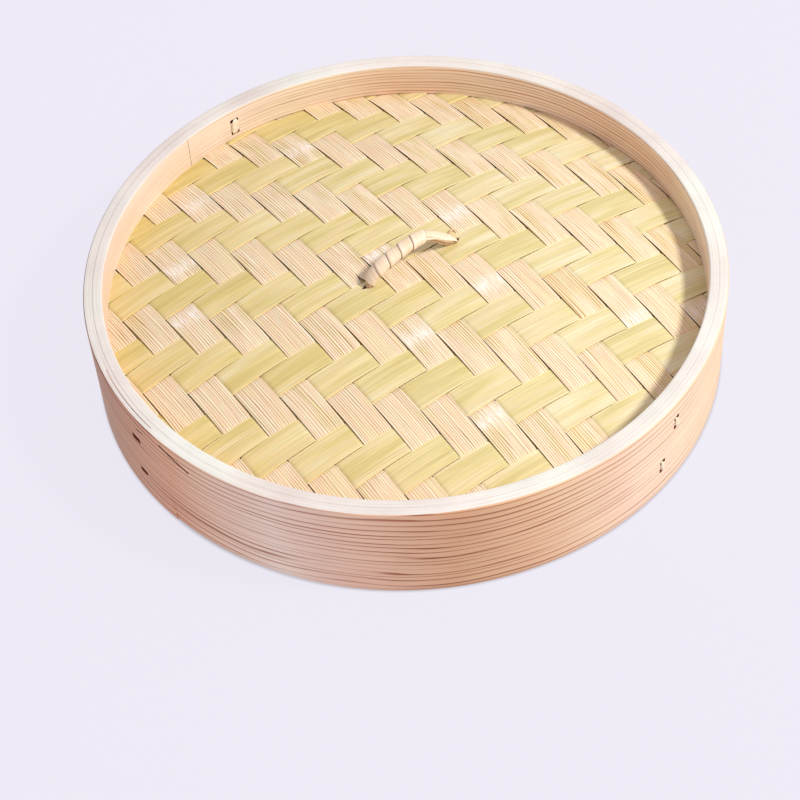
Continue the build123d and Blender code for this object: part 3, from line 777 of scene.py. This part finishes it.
def along_arch(distance):
    """The point on the arch at a distance from its left foot, and the arch's direction there."""
    for i in range(len(lengths) - 1):
        if lengths[i + 1] >= distance or i == len(lengths) - 2:
            share = (distance - lengths[i]) / (lengths[i + 1] - lengths[i])
            way = (arch_points[i + 1] - arch_points[i]).normalized()
            return arch_points[i].lerp(arch_points[i + 1], share), way


# %% Strands
# side and height of each strand in the bundle, how far it fans out at the right foot, and its radius, in mm
STRANDS = [(-1.15, 0.35, -2.3, 0.80), (0.0, 0.75, -0.4, 0.85), (1.15, 0.35, 1.7, 0.80),
           (-0.6, -0.75, -1.1, 0.75), (0.7, -0.75, 0.7, 0.75)]
bundle = bmesh.new()
for side, rise, fan, thickness in STRANDS:
    # the last number says how much of the bundle's spread is left there
    route = [(-TIP_X, TIP_Z, 0.5), (-TIP_X, HOOK_Z, 0.5), (-FOOT_X, HOOK_Z, 0.6)]
    route += [(x, z, 1.0) for x, z in ARCH]
    route += [(FOOT_X, HOOK_Z, 0.6), (TIP_X, HOOK_Z, 0.5), (TIP_X, TIP_Z, 0.5)]
    points = []
    for x, z, tight in route:
        open_out = max(0.0, min(1.0, (x - 6) / 7)) if z > 50 else 0.5 if z > 47 and x > 0 else 0.0
        sag = 2.6 * open_out if rise < 0 else 1.3 * open_out
        points.append(handle_point(x, z + rise * tight - sag, side * tight + fan * 0.5 * open_out))
    bundle.from_mesh(smooth_line(points, depth=thickness * MM, order=3))
bmesh.ops.remove_doubles(bundle, verts=bundle.verts, dist=0.001 * MM)
bmesh.ops.recalc_face_normals(bundle, faces=bundle.faces)
strands = finish_piece(bundle, "handle_strands", [strand_bamboo], "handle", ["handle_core"],
                       sharp=60)
print("strands:", len(strands.data.polygons), "faces")

# %% Winding
WIND_PITCH, WIND_WIDTH, WIND_SIDE, WIND_RISE = 6.35 * MM, 6.9 * MM, 3.35 * MM, 2.45 * MM
START, TURNS, TURN_LENGTH = 3.3 * MM, 4.66, 19 * MM
ABOVE_HOLE = 2.9 * MM                           # the winding stops here, clear of the mat when the handle rocks
bm, uv, seeds, edges, _ = strip_grid(int(TURNS * 40), 8)
for v in bm.verts:
    v[seeds], v[edges] = 0.5, abs(v.co.y) * 2
lay_uv(bm, uv, lambda at: ((at.x + 0.5) * TURNS * TURN_LENGTH, (at.y + 0.5) * WIND_WIDTH))
for v in bm.verts:
    turn = (v.co.x + 0.5) * TURNS
    angle = turn * math.tau + math.pi
    # the strip goes nearly straight over the top and moves on mostly underneath
    advance = turn - 0.15 * math.sin(angle) / math.tau
    distance = START + WIND_PITCH * advance + v.co.y * WIND_WIDTH
    point, way = along_arch(max(ABOVE_HOLE, distance))
    snug = 0.78 + 0.22 * max(0.0, min(1.0, distance / (9 * MM)))      # tighter towards the foot
    up = WARP_WAY.cross(way).normalized() * -1
    if up.z < 0:
        up = -up
    lap = 0.34 * MM * (0.5 - v.co.y)
    rise, side = math.cos(angle) * (WIND_RISE + lap), math.sin(angle) * (WIND_SIDE + lap)
    v.co = point + (up * rise + WARP_WAY * side) * snug
bmesh.ops.recalc_face_normals(bm, faces=bm.faces)
bm.faces.ensure_lookup_table()
test = bm.faces[len(bm.faces) // 2]
centre_there = min(arch_points, key=lambda p: (p - test.calc_center_median()).length)
if test.normal.dot(test.calc_center_median() - centre_there) < 0:
    bmesh.ops.reverse_faces(bm, faces=bm.faces)
winding = finish_piece(bm, "handle_winding", [wrap_bamboo, shaded_split_bamboo], "handle",
                       ["handle_wrap"], sharp=60)
# the strip's sides are the dark split bamboo, painted shade like its edges
thicken(winding, 0.4 * MM, rim_material=1)
print("winding:", TURNS, "turns")

# %% Bare band
# From the end of the winding the top strand is a flat band that runs down to the right foot.
BAND_FROM, BAND_LEFT = 31.0 * MM, 2.7 * MM      # where it starts, and how far above the hole it stops
BAND_LENGTH = lengths[-1] - BAND_LEFT - BAND_FROM
bm, uv, seeds, edges, _ = strip_grid(48, 12)
for v in bm.verts:
    v[seeds], v[edges] = 0.2, abs(v.co.y) * 1.6
lay_uv(bm, uv, lambda at: (at.x * 24 * MM, at.y * 4 * MM))
for v in bm.verts:
    run, side = v.co.x + 0.5, v.co.y * 2
    point, way = along_arch(BAND_FROM + BAND_LENGTH * run)
    up = WARP_WAY.cross(way).normalized()
    up = up if up.z > 0 else -up
    half = (2.9 - 0.3 * max(0.0, run - 0.6) / 0.4) * MM
    droop = 1.1 * max(0.0, -side) * math.sin(math.pi * run)
    crown = (1.5 - 1.1 * side**2 * (1 - 0.6 * run) - 0.9 * max(0.0, run - 0.6) - droop) * MM
    v.co = point + up * crown + WARP_WAY * (side * half - 0.4 * MM * run)
face_up(bm)
band = finish_piece(bm, "handle_bare_band", [wrap_bamboo, shaded_split_bamboo], "handle",
                    ["handle_core"], sharp=60)
# the band's underside and sides are the dark split bamboo: painted shade under the band
thicken(band, 0.8 * MM, material=1, rim_material=1)
print("bare band:", round(BAND_LENGTH / MM, 1), "mm long")

# %% Torn fibre at the right foot
# A fibre of the mat, torn loose where the handle was pushed through, curls up beside the hole.
CURL = [(22.0, 46.4, 4.0), (23.5, 48.2, 4.5), (25.5, 48.6, 4.9), (27.0, 47.6, 5.3), (26.6, 46.6, 5.9),
        (24.6, 47.0, 6.1)]                      # mm along the handle, up and across it
bm = bmesh.new()
bm.from_mesh(smooth_line([handle_point(x, z, side) for x, z, side in CURL], depth=0.42 * MM, order=3))
print("torn fibre:", len(bm.faces), "faces")
finish_piece(bm, "torn_mat_fibre", [strand_bamboo], "lid", ["warp_strip_12"], sharp=60)

# %% [markdown]
# ## Stitches
# Narrow bamboo strands bind the hoops together. At the right and at the back left each shows as a pale
# staple over the wood. At the left front they lie deep in two dark slots.

# %% Stitch bamboo: fresh, nearly white splints, the palest bamboo on the lid
stitch_bamboo, stitch_shader = new_material("pale_bamboo_splint")
node = partial(add, stitch_bamboo)
place = node("TexCoord").outputs["Object"]
stitch_noise = node("TexNoise", {"Vector": place, "Scale": 1400.0, "Detail": 2.0}).outputs["Fac"]
stitch_colour = node("ValToRGB", {"Fac": stitch_noise}, [(0.35, "#dfc6a0"), (0.6, "#f8ecd6")])
dress(stitch_bamboo, stitch_shader, stitch_colour.outputs[0], 0.6)
print("stitch finish:", stitch_bamboo.name)


# %% Staples
BRIDGE = 0.62                                   # the share of a staple's length that lies over the wood


def staple(name, azimuth, z, leg_gap, width, face_r, outward):
    """A strand that comes out of the wall, lies over it and goes back in."""
    bm = bmesh.new()
    bmesh.ops.create_grid(bm, x_segments=28, y_segments=6, size=0.5)
    lean = random.Random(name).uniform(-1.1, -0.6)
    half = leg_gap / 2 + 0.5
    for v in bm.verts:
        run = v.co.x * 2                                   # -1 to 1 from one leg to the other
        angle = max(-1.0, min(1.0, run / BRIDGE)) * math.pi / 2
        deep = max(0.0, abs(run) - BRIDGE) / 0.38 * 4.0
        rise = 0.75 * abs(math.cos(angle)) ** 0.5 - 0.05 * (v.co.y * 2) ** 2
        height = half * math.copysign(abs(math.sin(angle)) ** 0.7, angle)
        across = v.co.y * width * (0.72 + 0.28 * math.cos(run * math.pi * 1.6)) + lean * run
        radius = face_r + outward * (rise - 0.1 - deep)
        v.co = polar(radius * MM, azimuth + math.degrees(across / face_r), (z + height) * MM)
    bmesh.ops.recalc_face_normals(bm, faces=bm.faces)
    bm.faces.ensure_lookup_table()
    middle = min(bm.faces, key=lambda f: abs(f.calc_center_median().z - z * MM))
    if middle.normal.dot(polar(outward, azimuth)) < 0:
        bmesh.ops.reverse_faces(bm, faces=bm.faces)
    piece = finish_piece(bm, name + "_strand", [stitch_bamboo], "lid", [name], sharp=60)
    thicken(piece, 0.7 * MM)


for name, (azimuth, z) in RIGHT_STITCHES.items():
    staple(name, azimuth, z, 4.4, 2.3, WALL_R, 1)
staple("inner_stitch", *INNER_STITCH, 7.0, 3.8, FACE_R, -1)

# %% Strands in the left slots
LEFT_STITCHES = {"rim_stitch_left_upper": (-145.6, 35.8, 4.6), "rim_stitch_left_lower": (-145.4, 15.1, 4.0)}
for name, (azimuth, z, width) in LEFT_STITCHES.items():
    bm = bmesh.new()
    block(bm, azimuth, 136.0, z, (5.0, width, 0.9), lean=4)
    finish_piece(bm, name + "_strand", [stitch_bamboo], "lid", [name])

# %% [markdown]
# ## Finish
# Every model node should now be stood for by a finished piece, and the whole lid should be as large as the
# model.

# %% Finish
bpy.context.view_layer.update()
